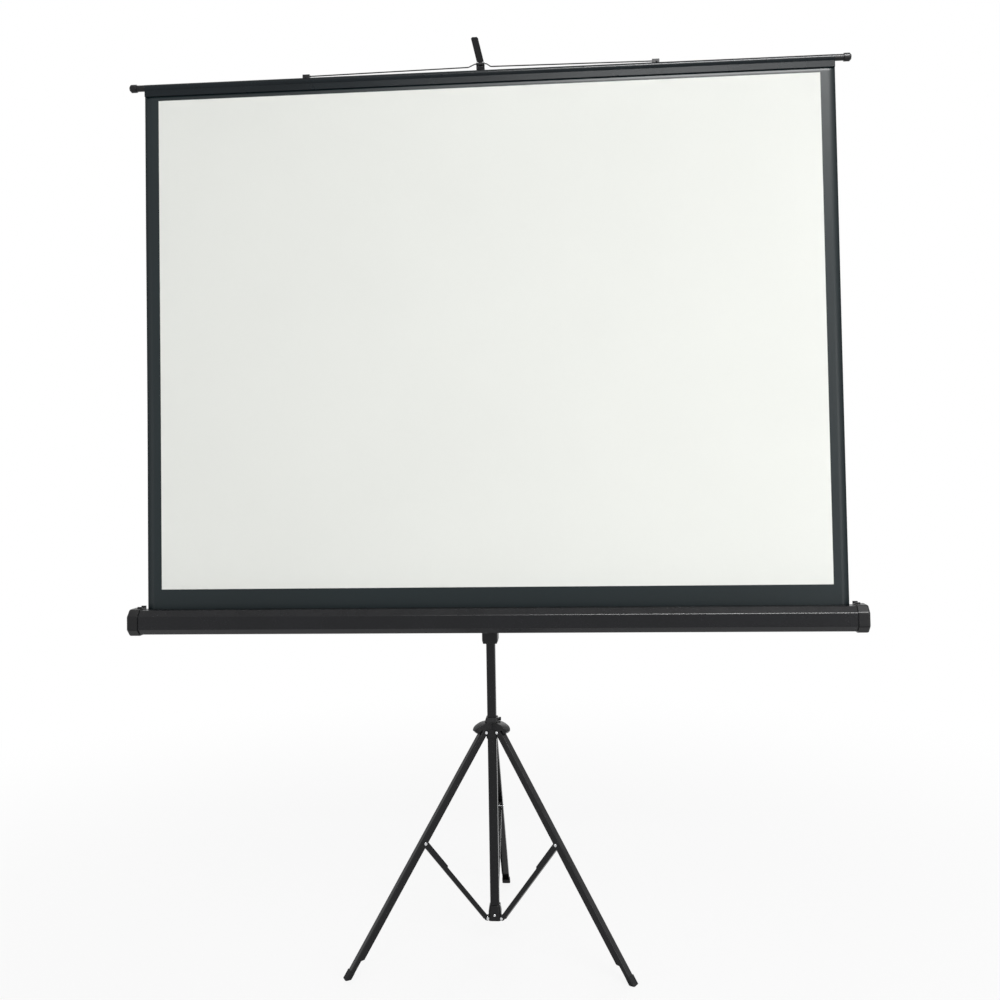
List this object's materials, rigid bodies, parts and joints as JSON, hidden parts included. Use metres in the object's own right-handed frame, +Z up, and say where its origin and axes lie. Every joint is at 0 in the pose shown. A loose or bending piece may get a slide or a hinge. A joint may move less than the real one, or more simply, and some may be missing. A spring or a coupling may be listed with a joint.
{
  "type": "portable projection screen",
  "caption": "Pull-up projection screen on a folding tripod: white matte fabric with black borders drawn from a long slim case and hung by a wire bail on a telescopic mast's hook.",
  "frame": {"origin": "on the floor, under the middle of the space between the feet from front to back", "axes": "+Z up along the mast, +X to the right of someone who looks at the screen, and the screen faces -Y"},
  "size_m": [1.86, 0.614, 2.3428],
  "materials": {
    "black_metal": "satin black powder coat",
    "black_aluminium": "satin black paint",
    "black_plastic": "moulded black plastic",
    "steel": "plated steel",
    "dark_wire": "dark spring steel",
    "rubber": "black rubber",
    "screen": "matte white with black borders",
    "core": "plain tube"
  },
  "bodies": {
    "mast": {"mast_tube": "black_metal", "lower_hub": "black_plastic", "hub_pins": "steel", "hub_screws": "steel", "mast_bush": "black_plastic", "lock_lever_pin": "steel"},
    "lock_lever": {"lock_lever": "black_metal"},
    "crown": {"crown": "black_plastic"},
    "crown_knob": {"crown_knob": "black_plastic"},
    "extension": {"extension_tube": "steel", "extension_glide": "black_plastic", "hook_bracket": "black_metal", "hook_pin": "steel"},
    "hook_arm": {"hook_arm": "black_metal"},
    "carriage": {"carriage": "black_plastic", "carry_handle": "black_plastic", "pivot_bolt": "steel", "pivot_washer": "steel"},
    "release_button": {"release_button": "black_plastic"},
    "case": {"case_bracket": "black_metal", "bracket_screws": "steel", "case_shell": "black_aluminium", "end_cap_left": "black_plastic", "end_cap_right": "black_plastic", "cap_screws": "steel", "spring_arbor": "steel", "idle_shaft": "steel", "roller_spring": "steel"},
    "roller": {"roller_tube": "core", "roller_plug_left": "black_plastic", "roller_plug_right": "black_plastic", "fabric_wraps": "screen"},
    "slat": {"slat": "black_aluminium", "slat_end_left": "black_plastic", "slat_end_right": "black_plastic", "bail_clips": "black_plastic", "clip_screws": "steel", "screen_fabric": "screen"},
    "bail": {"bail_wire": "dark_wire"},
    "brace_left": {"brace_left": "black_metal"},
    "leg_left": {"leg_left": "black_metal", "leg_pins_left": "steel", "foot_left": "rubber"},
    "brace_right": {"brace_right": "black_metal"},
    "leg_right": {"leg_right": "black_metal", "leg_pins_right": "steel", "foot_right": "rubber"},
    "brace_rear": {"brace_rear": "black_metal"},
    "leg_rear": {"leg_rear": "black_metal", "leg_pins_rear": "steel", "foot_rear": "rubber"}
  },
  "joints": [
    {"name": "tripod_fold", "type": "hinge", "parent": "mast", "child": "brace_rear", "pos_m": [0, -0.07237, 0.07091], "axis": [1, 0, 0], "range_deg": [0, 38.21]},
    {"name": "leg_swing_rear", "type": "hinge", "parent": "brace_rear", "child": "leg_rear", "pos_m": [0, 0.09574, 0.28929], "axis": [1, 0, 0], "range_deg": [-72.71, 0.5]},
    {"name": "brace_fold_left", "type": "hinge", "parent": "mast", "child": "brace_left", "pos_m": [-0.02122, -0.10912, 0.07091], "axis": [-0.5, 0.866, 0], "range_deg": [-0.5, 38.71]},
    {"name": "leg_swing_left", "type": "hinge", "parent": "brace_left", "child": "leg_left", "pos_m": [-0.16681, -0.19318, 0.28929], "axis": [-0.5, 0.866, 0], "range_deg": [-72.71, 0.5]},
    {"name": "brace_fold_right", "type": "hinge", "parent": "mast", "child": "brace_right", "pos_m": [0.02122, -0.10912, 0.07091], "axis": [-0.5, -0.866, 0], "range_deg": [-0.5, 38.71]},
    {"name": "leg_swing_right", "type": "hinge", "parent": "brace_right", "child": "leg_right", "pos_m": [0.16681, -0.19318, 0.28929], "axis": [-0.5, -0.866, 0], "range_deg": [-72.71, 0.5]},
    {"name": "crown_pivot", "type": "hinge", "parent": "leg_rear", "child": "crown", "pos_m": [0, -0.07537, 0.54298], "axis": [1, 0, 0], "range_deg": [-0.5, 34.5]},
    {"name": "crown_lock", "type": "hinge", "parent": "crown", "child": "crown_knob", "pos_m": [0.0115, -0.09687, 0.57448], "axis": [1, 0, 0], "range_deg": [0, 180]},
    {"name": "extension_slide", "type": "slide", "parent": "mast", "child": "extension", "axis": [0, 0, 1], "range_m": [-0.98, 0]},
    {"name": "hook_fold", "type": "hinge", "parent": "extension", "child": "hook_arm", "pos_m": [0, -0.12037, 2.281], "axis": [1, 0, 0], "range_deg": [0, 62]},
    {"name": "lever_press", "type": "hinge", "parent": "mast", "child": "lock_lever", "pos_m": [0, -0.07617, 1.214], "axis": [1, 0, 0], "range_deg": [-16, 0], "stiffness_Nm_per_rad": 0.4, "springref_deg": 5.73},
    {"name": "carriage_slide", "type": "slide", "parent": "mast", "child": "carriage", "axis": [0, 0, 1], "range_m": [0, 0.28]},
    {"name": "button_press", "type": "slide", "parent": "carriage", "child": "release_button", "axis": [0, 0, 1], "range_m": [-0.005, 0], "stiffness_N_per_m": 600, "springref_m": 0.004},
    {"name": "case_swivel", "type": "hinge", "parent": "carriage", "child": "case", "pos_m": [0, -0.12737, 0.842], "axis": [0, 1, 0], "range_deg": [0, 60]},
    {"name": "screen_pull", "type": "slide", "parent": "case", "child": "slat", "axis": [0, 0, 1], "range_m": [-1.332, 0], "deforming": ["screen_fabric"]},
    {"name": "roller_turn", "type": "hinge", "parent": "case", "child": "roller", "pos_m": [0, -0.18702, 0.842], "axis": [1, 0, 0], "range_deg": [-4549.3, 20]},
    {"name": "bail_swing", "type": "hinge", "parent": "slat", "child": "bail", "pos_m": [0, -0.16987, 2.25082], "axis": [1, 0, 0], "range_deg": [-8, 0]}
  ],
  "couplings": [
    {"joint": "leg_swing_rear", "follows": "tripod_fold", "ratio": -1.8898},
    {"joint": "brace_fold_left", "follows": "tripod_fold", "ratio": 1},
    {"joint": "leg_swing_left", "follows": "tripod_fold", "ratio": -1.8898},
    {"joint": "brace_fold_right", "follows": "tripod_fold", "ratio": 1},
    {"joint": "leg_swing_right", "follows": "tripod_fold", "ratio": -1.8898},
    {"joint": "crown_pivot", "follows": "tripod_fold", "ratio": 0.88976},
    {"joint": "roller_turn", "follows": "screen_pull", "rad_per_m": 59.347}
  ]
}
